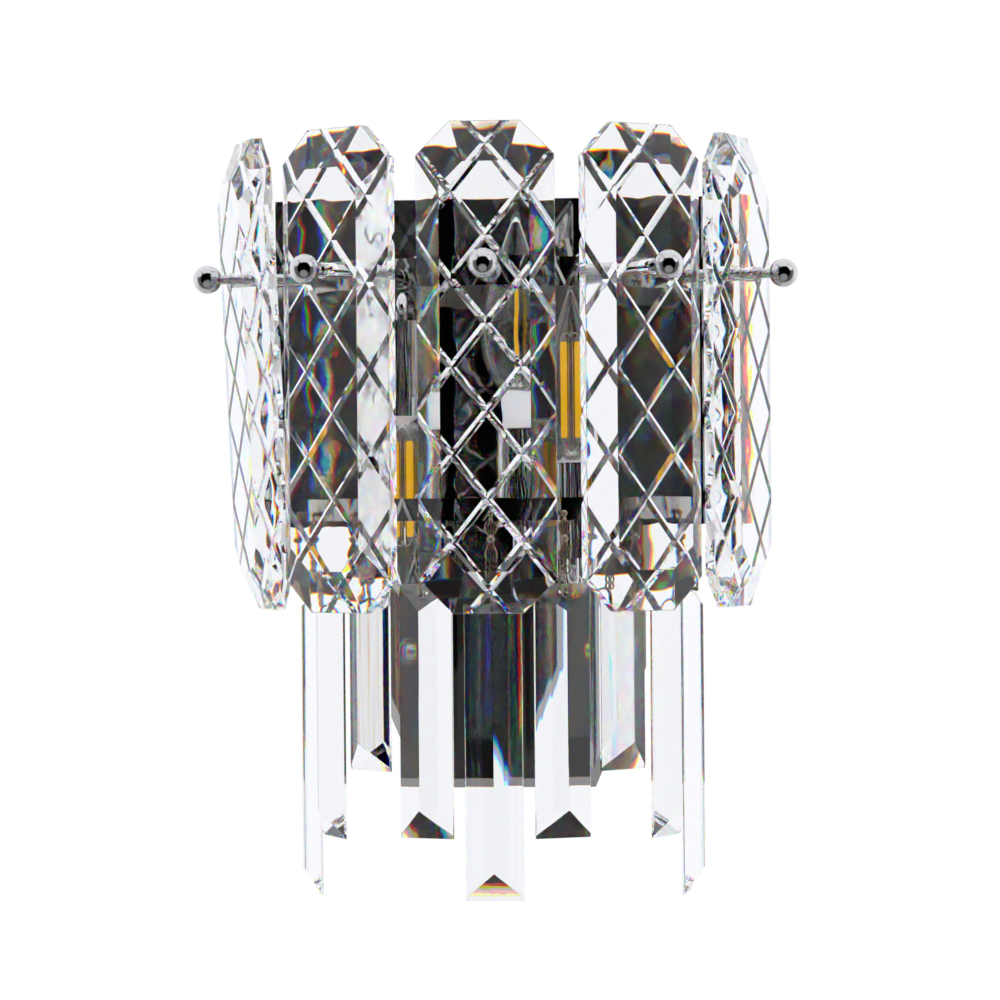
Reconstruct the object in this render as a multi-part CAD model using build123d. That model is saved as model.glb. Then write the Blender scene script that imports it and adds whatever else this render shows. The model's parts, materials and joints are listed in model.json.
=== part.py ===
from build123d import *
import math
import os

# Crystal wall sconce, in millimetres. +Z is up, +Y goes into the wall and -Y faces the room.
# The origin is on the wall plane, midway between the two wall screws of the mounting strap.
# Pieces of the half-round drum are drawn at its front and turned about its vertical axis.

os.makedirs("parts", exist_ok=True)

# Clearances
SCREW_GAP = 0.2  # radial gap round a fixed screw, stud or tube
SWING_GAP = 0.5  # radial gap round a stud that a crystal panel swings on
PIN_GAP = 0.4  # radial gap round a pin that a crystal prism swings on
SEAT_GAP = 0.3  # gap between a lamp and what it stands on or slides in

# Mounting strap and the studs that carry the wall plate
STRAP_WIDTH = 30.0
STRAP_HEIGHT = 170.0
STRAP_SHEET = 2.0
WALL_SCREW_SPACING = 60.0
WALL_SCREW_HOLE = 2.5
CABLE_HOLE = 6.0
STRAP_STUD_INSET = 13.0
STRAP_STUD_RADIUS = 2.5
STRAP_STUD_FLANGE = 4.5
STRAP_STUD_FLANGE_SHEET = 1.2
STRAP_STUD_PROUD = 6.0
CAP_NUT_FLATS = 8.0
CAP_NUT_HEX = 4.5
CAP_NUT_LENGTH = 8.5

# Terminal block on the strap
BLOCK_WIDTH = 28.0
BLOCK_DEPTH = 12.0
BLOCK_HEIGHT = 16.0
BLOCK_CORNER = 1.0
BLOCK_SCREW_RADIUS = 2.0
BLOCK_SCREW_LENGTH = 4.0
BLOCK_SCREW_PITCH = 8.0

# Wall plate: an octagonal pan, open towards the wall
PLATE_WIDTH = 132.0
PLATE_HEIGHT = 274.0
PLATE_END_WIDTH = 83.0
PLATE_SIDE = 160.0
PLATE_DEPTH = 22.0
PLATE_BEVEL = 4.5
PLATE_SHEET = 1.2

# Mirror plate behind the drum, and what holds it off the wall plate
MIRROR_WIDTH = 212.0
MIRROR_TOP = 141.0
MIRROR_BOTTOM = -12.0
MIRROR_SHEET = 1.5
SPACER_LENGTH = 24.5
SPACER_RADIUS = 4.0
SPACER_X = 38.0
SPACER_LOW_Z = 0.0
SPACER_TOP_DROP = 25.0
SPACER_SCREW_RADIUS = 2.0
SPACER_HEAD_RADIUS = 3.6
SPACER_HEAD_LENGTH = 2.2
SPACER_NUT_FLATS = 7.0
SPACER_NUT_LENGTH = 3.0

# Half-round bands, whose straight tails end in tabs on the mirror plate
BAND_RADIUS = 88.0
BAND_SHEET = 1.0
BAND_TAIL = 9.0
BAND_TAB = 10.0
UPPER_BAND_Z = 101.0
UPPER_BAND_HEIGHT = 13.0
LOWER_BAND_Z = -4.0
LOWER_BAND_HEIGHT = 10.0
TAB_SCREW_RADIUS = 1.5
TAB_HEAD_RADIUS = 2.7
TAB_HEAD_LENGTH = 1.6
TAB_NUT_FLATS = 5.5
TAB_NUT_LENGTH = 2.4

# Radial studs that carry the crystal panels, each closed by a ball nut
PANEL_ANGLE = 34.5
STUD_RADIUS = 3.0
STUD_PROUD = 1.0  # how far a stud's shoulder stands out of the panel
STUD_COLLAR_RADIUS = 5.5
STUD_COLLAR_LENGTH = 2.5
STUD_NUT_FLATS = 10.0
STUD_NUT_LENGTH = 5.0
STUD_TAIL = 1.5
NECK_RADIUS = 2.1
NECK_LENGTH = 3.7
BALL_RADIUS = 6.5
BALL_GRIP = 5.0

# Crystal panels: bevelled octagons with a diamond lattice of grooves in the back
PANEL_WIDTH = 60.0
PANEL_HEIGHT = 213.0
PANEL_THICKNESS = 13.5
PANEL_EDGE = 4.6
PANEL_CORNER = 14.7
PANEL_Z = 57.5
PANEL_STANDOFF = 26.8  # from the middle of the bands to the back of a panel
SIDE_BEVEL = 10.5
END_BEVEL = 18.3
INNER_CORNER = 10.3
LATTICE_WIDTH = 30.2
LATTICE_HEIGHT = 38.0
GROOVE_HALF_WIDTH = 1.7
GROOVE_DEPTH = 2.0
GROOVE_PROUD = 0.5
LEFT_INNER_SHIFT = 0.5  # how far in on its stud this panel hangs
RIGHT_OUTER_SHIFT = 2.5
LEFT_OUTER_LEAN = 2.5  # how far its foot leans inwards, in degrees

# Crystal prisms: three-sided bars that hang from the lower band, the longest at the sides
PRISM_ANGLE = 20.6
PRISM_WIDTH = 25.6
PRISM_RIDGE = 9.0
PRISM_EDGE = 1.2
PRISM_TOP = -37.0
PRISM_TOP_CUT = 12.0
PRISM_END_CUT = 13.0
PRISM_PIN_DROP = 4.5
FRONT_PRISM_LENGTH = 140.0
SECOND_PRISM_LENGTH = 113.0
THIRD_PRISM_LENGTH = 84.0
FOURTH_PRISM_LENGTH = 116.0
OUTER_PRISM_LENGTH = 145.0

# Bow-tie clips between the lower band and the prisms
CLIP_HOLE_RISE = 3.0
CLIP_WIRE = 0.7
CLIP_HOLE = 1.3
CLIP_REACH = 2.5
CLIP_BALL = 1.4
CLIP_HEAD = 1.8
CLIP_SHEET = 1.0
FAN_HALF_WIDTH = 3.0
WAIST_HALF_WIDTH = 0.9
FAN_HEIGHT = 9.5
WAIST_HEIGHT = 2.5
LEG_HALF_WIDTH = 1.1
PIN_RADIUS = 0.9
LEG_GAP = 0.9

# Lamps: candle lamps on an E14 cap, in a ceramic socket inside a chrome sleeve
GLASS_RADIUS = 17.5
GLASS_LENGTH = 82.0
GLASS_WALL = 0.8
GLASS_FOOT = 7.6
GLASS_TIP = 1.6
COLLAR_RADIUS = 7.3
COLLAR_LENGTH = 17.0
COLLAR_CHAMFER = 0.6
CAP_RADIUS = 7.0
CAP_LENGTH = 20.0
CAP_CHAMFER = 1.5
TIP_RADIUS = 2.5
TIP_LENGTH = 2.0
CONTACT_DROP = 1.0
FILAMENT_RADIUS = 1.3
FILAMENT_LENGTH = 47.0
FILAMENT_START = 9.0
FILAMENT_OFFSET = 3.25
STEM_RADIUS = 1.2
STEM_FOOT_LENGTH = 3.0
WIRE_RADIUS = 0.4
SOCKET_WALL = 1.3
SOCKET_FLOOR = 2.0
SLEEVE_WALL = 1.0
SLEEVE_GAP = 0.4
SLEEVE_LENGTH = 44.0
SLEEVE_FLOOR = 1.5
ARM_RADIUS = 3.0
ARM_WALL = 0.8
ARM_BEND = 9.0
ARM_NUT_FLATS = 9.0
ARM_NUT_LENGTH = 3.0
ARM_TAIL = 1.5

# Where the foot of each lamp's glass is, and how far a sleeve may cover the collar below the glass
LEFT_LAMP_X = -45.0
LEFT_LAMP_Y = -72.0
LEFT_LAMP_Z = 38.0
CENTRE_LAMP_X = 10.0
CENTRE_LAMP_Y = -102.0
CENTRE_LAMP_Z = 49.0
RIGHT_LAMP_X = 33.0
RIGHT_LAMP_Y = -70.0
RIGHT_LAMP_Z = 18.0
SLEEVE_COVER = 16.0

# Each lamp: x, y, height of its foot, 1 if upright or -1 if it hangs, and its sleeve's cover
LAMPS = {
    "left": (LEFT_LAMP_X, LEFT_LAMP_Y, LEFT_LAMP_Z, -1, SLEEVE_COVER),
    "centre": (CENTRE_LAMP_X, CENTRE_LAMP_Y, CENTRE_LAMP_Z, 1, 0.0),
    "right": (RIGHT_LAMP_X, RIGHT_LAMP_Y, RIGHT_LAMP_Z, 1, SLEEVE_COVER),
}

# Places that follow from the sizes above
PLATE_FRONT = -PLATE_DEPTH
PLATE_BACK = PLATE_FRONT + PLATE_SHEET
MIRROR_BACK = PLATE_FRONT - SPACER_LENGTH
MIRROR_FRONT = MIRROR_BACK - MIRROR_SHEET
DRUM_Y = MIRROR_FRONT - BAND_TAIL
BAND_INNER = BAND_RADIUS - BAND_SHEET / 2
BAND_OUTER = BAND_RADIUS + BAND_SHEET / 2
PANEL_BACK = BAND_RADIUS + PANEL_STANDOFF
STUD_END = PANEL_BACK + PANEL_THICKNESS + STUD_PROUD
BALL_CENTRE = STUD_END + NECK_LENGTH + BALL_RADIUS
STRAP_STUD_Z = STRAP_HEIGHT / 2 - STRAP_STUD_INSET
BLOCK_Z = (WALL_SCREW_SPACING / 2 + STRAP_STUD_Z) / 2
PLATE_TAPER = (PLATE_HEIGHT - PLATE_SIDE) / 2
SPACER_HIGH_Z = PLATE_HEIGHT / 2 - SPACER_TOP_DROP
CLIP_Z = LOWER_BAND_Z - LOWER_BAND_HEIGHT / 2 + CLIP_HOLE_RISE
PIN_Z = PRISM_TOP - PRISM_PIN_DROP
SOCKET_BORE = CAP_RADIUS + SEAT_GAP
SOCKET_RADIUS = SOCKET_BORE + SOCKET_WALL
SLEEVE_INNER = SOCKET_RADIUS + SLEEVE_GAP
SLEEVE_OUTER = SLEEVE_INNER + SLEEVE_WALL

# The prism's centre of area lies under its clip's hole, so that the prism hangs upright
RIM_AREA = PRISM_WIDTH * PRISM_EDGE
ROOF_AREA = PRISM_WIDTH * (PRISM_RIDGE - PRISM_EDGE) / 2
ROOF_CENTRE = PRISM_EDGE + (PRISM_RIDGE - PRISM_EDGE) / 3
PRISM_CENTRE = (RIM_AREA * PRISM_EDGE / 2 + ROOF_AREA * ROOF_CENTRE) / (RIM_AREA + ROOF_AREA)
PRISM_BACK = BAND_RADIUS - PRISM_CENTRE

PANEL_NAMES = ["left_outer", "left_inner", "front", "right_inner", "right_outer"]
PANEL_TURNS = [PANEL_ANGLE * (index - 2) for index in range(len(PANEL_NAMES))]
PANEL_SHIFTS = [0.0, LEFT_INNER_SHIFT, 0.0, 0.0, RIGHT_OUTER_SHIFT]
PANEL_LEANS = [LEFT_OUTER_LEAN, 0.0, 0.0, 0.0, 0.0]
PRISM_LENGTHS = [
    FRONT_PRISM_LENGTH,
    SECOND_PRISM_LENGTH,
    THIRD_PRISM_LENGTH,
    FOURTH_PRISM_LENGTH,
    OUTER_PRISM_LENGTH,
]
PRISM_STEPS = range(1 - len(PRISM_LENGTHS), len(PRISM_LENGTHS))

FORWARD, BACKWARD, UP, DOWN = (0, -1, 0), (0, 1, 0), (0, 0, 1), (0, 0, -1)


def write(name, *solids):
    """Write the solids as one node."""
    flat = [solid for shape in solids for solid in shape.solids()]
    export_step(flat[0] if len(flat) == 1 else Compound(children=flat), f"parts/{name}.step")


def rod(radius, length, start, direction):
    """A cylinder from the point start, running along direction."""
    return extrude(Plane(origin=start, z_dir=direction) * Circle(radius), amount=length)


def nut(flats, length, bore, start, direction):
    """A hexagon nut whose first face lies at start."""
    plane = Plane(origin=start, z_dir=direction)
    hexagon = RegularPolygon(flats / 2, 6, major_radius=False) - Circle(bore)
    return extrude(plane * hexagon, amount=length)


def block(low, high):
    """A box between two corners."""
    size = [top - bottom for bottom, top in zip(low, high)]
    middle = [(top + bottom) / 2 for bottom, top in zip(low, high)]
    return Pos(*middle) * Box(*size)


def around(turn, shape):
    """A piece drawn at the drum's front, turned about the drum's axis; +turn goes to +X."""
    return Pos(0, DRUM_Y, 0) * Rot(0, 0, turn) * shape


def faceted(*rings):
    """A solid between polygons that have as many corners, all of its faces flat."""
    faces = [Face(Wire.make_polygon(ring)) for ring in (rings[0], rings[-1])]
    for near, far in zip(rings, rings[1:]):
        for here in range(len(near)):
            after = (here + 1) % len(near)
            corners = [near[here], near[after], far[after], far[here]]
            faces.append(Face(Wire.make_polygon(corners)))
    return Solid(Shell(faces))


def octagon(half_width, half_height, cut_width, cut_height):
    """The corners of a rectangle with its corners cut off, as (x, z)."""
    return [
        (half_width - cut_width, half_height),
        (half_width, half_height - cut_height),
        (half_width, cut_height - half_height),
        (half_width - cut_width, -half_height),
        (cut_width - half_width, -half_height),
        (-half_width, cut_height - half_height),
        (-half_width, half_height - cut_height),
        (cut_width - half_width, half_height),
    ]


def spacer_places():
    """The x and z of the four spacers."""
    return [(side * SPACER_X, z) for side in (-1, 1) for z in (SPACER_LOW_Z, SPACER_HIGH_Z)]


def tab_screw_places():
    """The x and z of the four screws in the bands' tabs."""
    x = BAND_INNER - BAND_TAB / 2
    return [(side * x, z) for side in (-1, 1) for z in (UPPER_BAND_Z, LOWER_BAND_Z)]


def arm_height(foot_z, way, cover):
    """The height at which a lamp's arm leaves the wall plate."""
    sleeve_end = foot_z - way * (COLLAR_LENGTH - cover + SLEEVE_LENGTH)
    return sleeve_end - way * (ARM_BEND + ARM_RADIUS)


def mounting_strap():
    strap = block(
        (-STRAP_WIDTH / 2, -STRAP_SHEET, -STRAP_HEIGHT / 2), (STRAP_WIDTH / 2, 0, STRAP_HEIGHT / 2)
    )
    strap = fillet(strap.edges().filter_by(Axis.Y), STRAP_WIDTH / 6)
    for side in (-1, 1):
        start = (0, 0, side * WALL_SCREW_SPACING / 2)
        strap -= rod(WALL_SCREW_HOLE, STRAP_SHEET, start, FORWARD)
    return strap - rod(CABLE_HOLE, STRAP_SHEET, (0, 0, 0), FORWARD)


def strap_stud(z):
    flange = rod(STRAP_STUD_FLANGE, STRAP_STUD_FLANGE_SHEET, (0, -STRAP_SHEET, z), FORWARD)
    length = PLATE_DEPTH + STRAP_STUD_PROUD - STRAP_SHEET
    return flange + rod(STRAP_STUD_RADIUS, length, (0, -STRAP_SHEET, z), FORWARD)


def cap_nut(z):
    start = (0, PLATE_FRONT, z)
    dome_radius = CAP_NUT_FLATS / 2 - SCREW_GAP
    body = nut(CAP_NUT_FLATS, CAP_NUT_HEX, 0.01, start, FORWARD) + rod(
        dome_radius, CAP_NUT_LENGTH - dome_radius, start, FORWARD
    )
    body += Pos(0, PLATE_FRONT - CAP_NUT_LENGTH + dome_radius, z) * Sphere(dome_radius)
    bore = STRAP_STUD_PROUD + SCREW_GAP
    return body - rod(STRAP_STUD_RADIUS + SCREW_GAP, bore, start, FORWARD)


def terminal_block():
    front = -STRAP_SHEET - BLOCK_DEPTH
    body = block(
        (-BLOCK_WIDTH / 2, front, BLOCK_Z - BLOCK_HEIGHT / 2),
        (BLOCK_WIDTH / 2, -STRAP_SHEET, BLOCK_Z + BLOCK_HEIGHT / 2),
    )
    body = fillet(body.edges().filter_by(Axis.Y), BLOCK_CORNER)
    screws = []
    for step in (-1, 0, 1):
        start = (step * BLOCK_SCREW_PITCH, front, BLOCK_Z)
        body -= rod(BLOCK_SCREW_RADIUS + SCREW_GAP, BLOCK_SCREW_LENGTH, start, BACKWARD)
        inset = (start[0], front + BLOCK_SCREW_LENGTH / 4, BLOCK_Z)
        screws.append(rod(BLOCK_SCREW_RADIUS, BLOCK_SCREW_LENGTH * 3 / 4, inset, BACKWARD))
    return body, screws


def wall_plate():
    cut = (PLATE_WIDTH - PLATE_END_WIDTH) / 2
    outline = make_face(
        Polyline(octagon(PLATE_WIDTH / 2, PLATE_HEIGHT / 2, cut, PLATE_TAPER), close=True)
    )
    hollow = offset(outline, -PLATE_SHEET, kind=Kind.INTERSECTION)
    outer = extrude(Plane.XZ * outline, amount=PLATE_DEPTH)
    outer = chamfer(outer.faces().sort_by(Axis.Y)[0].edges(), PLATE_BEVEL)
    inner = extrude(Plane.XZ * hollow, amount=PLATE_DEPTH - PLATE_SHEET)
    inner = chamfer(inner.faces().sort_by(Axis.Y)[0].edges(), PLATE_BEVEL)
    plate = outer - inner
    for side in (-1, 1):
        start = (0, 0, side * STRAP_STUD_Z)
        plate -= rod(STRAP_STUD_RADIUS + SCREW_GAP, PLATE_DEPTH, start, FORWARD)
    for x, z in spacer_places():
        plate -= rod(SPACER_SCREW_RADIUS + SCREW_GAP, PLATE_DEPTH, (x, 0, z), FORWARD)
    for x, _, foot_z, way, cover in LAMPS.values():
        start = (x, 0, arm_height(foot_z, way, cover))
        plate -= rod(ARM_RADIUS + SCREW_GAP, PLATE_DEPTH, start, FORWARD)
    return plate


def back_mirror():
    plate = block(
        (-MIRROR_WIDTH / 2, MIRROR_FRONT, MIRROR_BOTTOM), (MIRROR_WIDTH / 2, MIRROR_BACK, MIRROR_TOP)
    )
    for x, z in spacer_places():
        plate -= rod(SPACER_SCREW_RADIUS + SCREW_GAP, MIRROR_SHEET, (x, MIRROR_BACK, z), FORWARD)
    for x, z in tab_screw_places():
        plate -= rod(TAB_SCREW_RADIUS + SCREW_GAP, MIRROR_SHEET, (x, MIRROR_BACK, z), FORWARD)
    for x, _, foot_z, way, cover in LAMPS.values():
        z = arm_height(foot_z, way, cover)
        if MIRROR_BOTTOM - ARM_RADIUS < z < MIRROR_TOP + ARM_RADIUS:
            plate -= rod(ARM_RADIUS + SWING_GAP, MIRROR_SHEET, (x, MIRROR_BACK, z), FORWARD)
    return plate


def spacer(x, z):
    tube = rod(SPACER_RADIUS, SPACER_LENGTH, (x, PLATE_FRONT, z), FORWARD)
    return tube - rod(
        SPACER_SCREW_RADIUS + SCREW_GAP, SPACER_LENGTH, (x, PLATE_FRONT, z), FORWARD
    )


def spacer_screw(x, z):
    head = rod(SPACER_HEAD_RADIUS, SPACER_HEAD_LENGTH, (x, MIRROR_FRONT, z), FORWARD)
    head = chamfer(head.faces().sort_by(Axis.Y)[0].edges(), SPACER_HEAD_LENGTH / 3)
    reach = PLATE_BACK + SPACER_NUT_LENGTH + SCREW_GAP - MIRROR_FRONT
    return head + rod(SPACER_SCREW_RADIUS, reach, (x, MIRROR_FRONT, z), BACKWARD)


def spacer_nut(x, z):
    bore = SPACER_SCREW_RADIUS + SCREW_GAP
    return nut(SPACER_NUT_FLATS, SPACER_NUT_LENGTH, bore, (x, PLATE_BACK, z), BACKWARD)


def band(z, height):
    """A half ring with straight tails and inward tabs that lie on the mirror plate."""
    ring = Cylinder(BAND_OUTER, height) - Cylinder(BAND_INNER, height)
    front = block((-BAND_OUTER, -BAND_OUTER, -height / 2), (BAND_OUTER, 0, height / 2))
    strip = ring & front
    for side in (-1, 1):
        outside, inside = side * BAND_OUTER, side * BAND_INNER
        tab_end = side * (BAND_INNER - BAND_TAB)
        low, high = sorted((outside, inside))
        strip += block((low, 0, -height / 2), (high, BAND_TAIL, height / 2))
        low, high = sorted((outside, tab_end))
        tab = block((low, BAND_TAIL - BAND_SHEET, -height / 2), (high, BAND_TAIL, height / 2))
        middle = side * (BAND_INNER - BAND_TAB / 2)
        start = (middle, BAND_TAIL, 0)
        strip += tab - rod(TAB_SCREW_RADIUS + SCREW_GAP, BAND_SHEET, start, FORWARD)
    return Pos(0, DRUM_Y, z) * strip


def upper_band():
    strip = band(UPPER_BAND_Z, UPPER_BAND_HEIGHT)
    for turn in PANEL_TURNS:
        start = (0, BAND_SHEET - BAND_INNER, UPPER_BAND_Z)
        strip -= around(turn, rod(STUD_RADIUS + SCREW_GAP, 3 * BAND_SHEET, start, FORWARD))
    return strip


def lower_band():
    strip = band(LOWER_BAND_Z, LOWER_BAND_HEIGHT)
    for step in PRISM_STEPS:
        start = (0, BAND_SHEET - BAND_INNER, CLIP_Z)
        strip -= around(step * PRISM_ANGLE, rod(CLIP_HOLE, 3 * BAND_SHEET, start, FORWARD))
    return strip


def tab_screw(x, z):
    front = MIRROR_FRONT - BAND_SHEET
    head = rod(TAB_HEAD_RADIUS, TAB_HEAD_LENGTH, (x, front, z), FORWARD)
    head = chamfer(head.faces().sort_by(Axis.Y)[0].edges(), TAB_HEAD_LENGTH / 3)
    reach = MIRROR_BACK + TAB_NUT_LENGTH + SCREW_GAP - front
    return head + rod(TAB_SCREW_RADIUS, reach, (x, front, z), BACKWARD)


def tab_nut(x, z):
    bore = TAB_SCREW_RADIUS + SCREW_GAP
    return nut(TAB_NUT_FLATS, TAB_NUT_LENGTH, bore, (x, MIRROR_BACK, z), BACKWARD)


def panel_stud():
    """A stud at the drum's front, with a collar outside the band and a threaded neck."""
    inner_end = BAND_INNER - STUD_NUT_LENGTH - STUD_TAIL
    stud = rod(STUD_RADIUS, STUD_END - inner_end, (0, -inner_end, UPPER_BAND_Z), FORWARD)
    start = (0, -BAND_OUTER - SCREW_GAP, UPPER_BAND_Z)
    stud += rod(STUD_COLLAR_RADIUS, STUD_COLLAR_LENGTH, start, FORWARD)
    neck = NECK_LENGTH + BALL_GRIP - SCREW_GAP
    return stud + rod(NECK_RADIUS, neck, (0, -STUD_END, UPPER_BAND_Z), FORWARD)


def stud_nut():
    start = (0, -BAND_INNER + SCREW_GAP, UPPER_BAND_Z)
    return nut(STUD_NUT_FLATS, STUD_NUT_LENGTH, STUD_RADIUS + SCREW_GAP, start, BACKWARD)


def ball_nut():
    ball = Pos(0, -BALL_CENTRE, UPPER_BAND_Z) * Sphere(BALL_RADIUS)
    start = (0, BALL_RADIUS - BALL_CENTRE, UPPER_BAND_Z)
    return ball - rod(NECK_RADIUS + SCREW_GAP / 2, BALL_GRIP, start, FORWARD)


def groove(offset_z, slope):
    """The wedge that cuts one groove, on the line z = offset_z + slope * x of the back face."""
    run = math.hypot(1, slope)
    reach = PANEL_WIDTH * run
    start = (-PANEL_WIDTH, -PANEL_BACK, PANEL_Z + offset_z - slope * PANEL_WIDTH)
    plane = Plane(
        origin=start, x_dir=(-slope / run, 0, 1 / run), z_dir=(1 / run, 0, slope / run)
    )
    half = GROOVE_HALF_WIDTH * (1 + GROOVE_PROUD / GROOVE_DEPTH)
    inwards = -1 if plane.y_dir.Y > 0 else 1
    out, deep = -inwards * GROOVE_PROUD, inwards * GROOVE_DEPTH
    wedge = make_face(Polyline((-half, out), (half, out), (0, deep), close=True))
    return extrude(plane * wedge, amount=2 * reach)


def crystal_panel():
    """A panel at the drum's front, bevelled on the room side and grooved on the band side."""
    outer = octagon(PANEL_WIDTH / 2, PANEL_HEIGHT / 2, PANEL_CORNER, PANEL_CORNER)
    inner = octagon(
        PANEL_WIDTH / 2 - SIDE_BEVEL, PANEL_HEIGHT / 2 - END_BEVEL, INNER_CORNER, INNER_CORNER
    )
    levels = [(outer, 0), (outer, PANEL_EDGE), (inner, PANEL_THICKNESS)]
    rings = [
        [(x, -PANEL_BACK - level, PANEL_Z + z) for x, z in corners] for corners, level in levels
    ]
    panel = faceted(*rings)
    start = (0, -PANEL_BACK, UPPER_BAND_Z)
    panel -= rod(STUD_RADIUS + SWING_GAP, PANEL_THICKNESS, start, FORWARD)
    lines = int(PANEL_HEIGHT / LATTICE_HEIGHT / 2 + 0.5)
    for index in range(-lines, lines):
        for side in (-1, 1):
            offset_z = LATTICE_HEIGHT * (index + 0.5)
            panel -= groove(offset_z, side * LATTICE_HEIGHT / LATTICE_WIDTH)
    return panel


def hung(panel, shift, lean):
    """A panel moved in along its stud, and leaning about the middle of its hole."""
    pivot_y = -PANEL_BACK - PANEL_THICKNESS / 2
    place = Pos(0, pivot_y + shift, UPPER_BAND_Z) * Rot(lean, 0, 0)
    return place * Pos(0, -pivot_y, -UPPER_BAND_Z) * panel


def prism(length):
    """A prism at the drum's front: a flat back, a ridge in front, and both ends cut slanting."""
    bottom = PRISM_TOP - length
    half, back = PRISM_WIDTH / 2, -PRISM_BACK
    edge, ridge = back - PRISM_EDGE, back - PRISM_RIDGE
    section = Polyline(
        (-half, back), (half, back), (half, edge), (0, ridge), (-half, edge), close=True
    )
    bar = Pos(0, 0, bottom) * extrude(make_face(section), amount=length)
    side = Polyline(
        (back, bottom),
        (back, PRISM_TOP),
        (ridge, PRISM_TOP - PRISM_TOP_CUT),
        (ridge, bottom + PRISM_END_CUT),
        close=True,
    )
    across = Plane(origin=(-half, 0, 0), x_dir=(0, 1, 0), z_dir=(1, 0, 0))
    bar &= extrude(across * make_face(side), amount=PRISM_WIDTH)
    return bar - rod(PIN_RADIUS + PIN_GAP, PRISM_RIDGE, (0, back, PIN_Z), FORWARD)


def clip():
    """A bow-tie clip at the drum's front: pin and ball, two fans, and a stirrup with its pin."""
    front = -BAND_RADIUS - CLIP_REACH
    body = Pos(0, front, CLIP_Z) * Sphere(CLIP_BALL)
    body += rod(CLIP_WIRE, 2 * CLIP_REACH, (0, front, CLIP_Z), BACKWARD)
    rear = (0, CLIP_REACH - BAND_RADIUS, CLIP_Z)
    body += rod(CLIP_HEAD, CLIP_WIRE, rear, BACKWARD)
    z = CLIP_Z - CLIP_BALL / 2
    leg_front = front - CLIP_SHEET / 2
    for _ in range(2):
        fan = [
            (-WAIST_HALF_WIDTH, z),
            (WAIST_HALF_WIDTH, z),
            (FAN_HALF_WIDTH, z - FAN_HEIGHT),
            (WAIST_HALF_WIDTH, z - FAN_HEIGHT - WAIST_HEIGHT),
            (-WAIST_HALF_WIDTH, z - FAN_HEIGHT - WAIST_HEIGHT),
            (-FAN_HALF_WIDTH, z - FAN_HEIGHT),
        ]
        plane = Plane(origin=(0, leg_front + CLIP_SHEET, 0), x_dir=(1, 0, 0), z_dir=FORWARD)
        body += extrude(plane * make_face(Polyline(fan, close=True)), amount=CLIP_SHEET)
        z -= FAN_HEIGHT + WAIST_HEIGHT
    foot = PIN_Z - PIN_RADIUS
    rear_leg = -PRISM_BACK + LEG_GAP
    half = LEG_HALF_WIDTH
    body += block((-half, leg_front, foot), (half, leg_front + CLIP_SHEET, z + CLIP_SHEET))
    body += block((-half, rear_leg, foot), (half, rear_leg + CLIP_SHEET, z))
    body += block((-half, leg_front, z - CLIP_SHEET), (half, rear_leg + CLIP_SHEET, z))
    pin = rear_leg + CLIP_SHEET - leg_front
    return body + rod(PIN_RADIUS, pin, (0, leg_front, PIN_Z), BACKWARD)


def lamp_place(x, y, foot_z, way):
    """The place of a lamp drawn upright, with the foot of its glass at the origin."""
    return Pos(x, y, foot_z) * (Rot(0, 0, 0) if way > 0 else Rot(180, 0, 0))


def glass_outline(radius, top, foot):
    """Half of the candle shape: a foot, a full belly and a drawn-out tip."""
    side = Spline(
        (foot, 0),
        (radius * 0.86, top * 0.16),
        (radius, top * 0.33),
        (radius * 0.72, top * 0.62),
        (radius * 0.3, top * 0.85),
        (GLASS_TIP, top * 0.97),
    )
    tip = Line((GLASS_TIP, top * 0.97), (0, top))
    return Plane.XZ * make_face(side + tip + Line((0, top), (0, 0)) + Line((0, 0), (foot, 0)))


def lamp_glass():
    outer = revolve(glass_outline(GLASS_RADIUS, GLASS_LENGTH, GLASS_FOOT), Axis.Z)
    inner_top = GLASS_LENGTH - 4 * GLASS_WALL
    inner = revolve(
        glass_outline(GLASS_RADIUS - GLASS_WALL, inner_top, GLASS_FOOT - GLASS_WALL), Axis.Z
    )
    return outer - inner


def lamp_collar():
    ring = rod(COLLAR_RADIUS, COLLAR_LENGTH, (0, 0, -COLLAR_LENGTH), UP)
    return chamfer(ring.faces().sort_by(Axis.Z)[0].edges(), COLLAR_CHAMFER)


def lamp_cap():
    shell = rod(CAP_RADIUS, CAP_LENGTH, (0, 0, -COLLAR_LENGTH), DOWN)
    shell = chamfer(shell.faces().sort_by(Axis.Z)[0].edges(), CAP_CHAMFER)
    return shell + rod(TIP_RADIUS, CAP_LENGTH + TIP_LENGTH, (0, 0, -COLLAR_LENGTH), DOWN)


def lamp_filaments():
    """The glass stem with four upright filaments held by wires at both ends."""
    foot = GLASS_FOOT - 2 * GLASS_WALL
    top = FILAMENT_START + FILAMENT_LENGTH
    stem = rod(foot, STEM_FOOT_LENGTH, (0, 0, 0), UP)
    stem += rod(STEM_RADIUS, top + STEM_FOOT_LENGTH, (0, 0, 0), UP)
    for x in (-FILAMENT_OFFSET, FILAMENT_OFFSET):
        for y in (-FILAMENT_OFFSET, FILAMENT_OFFSET):
            stem += rod(FILAMENT_RADIUS, FILAMENT_LENGTH, (x, y, FILAMENT_START), UP)
            for z in (FILAMENT_START + 2 * WIRE_RADIUS, top - 2 * WIRE_RADIUS):
                stem += rod(WIRE_RADIUS, math.hypot(x, y), (0, 0, z), (x, y, 0))
    return stem


def lamp_socket():
    end = -COLLAR_LENGTH - CAP_LENGTH - TIP_LENGTH - CONTACT_DROP - SOCKET_FLOOR
    top = -COLLAR_LENGTH - SEAT_GAP
    body = rod(SOCKET_RADIUS, top - end, (0, 0, end), UP)
    body -= rod(SOCKET_BORE, top - end, (0, 0, end + SOCKET_FLOOR), UP)
    contact = rod(TIP_RADIUS, CONTACT_DROP - SEAT_GAP, (0, 0, end + SOCKET_FLOOR), UP)
    return body, contact


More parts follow.
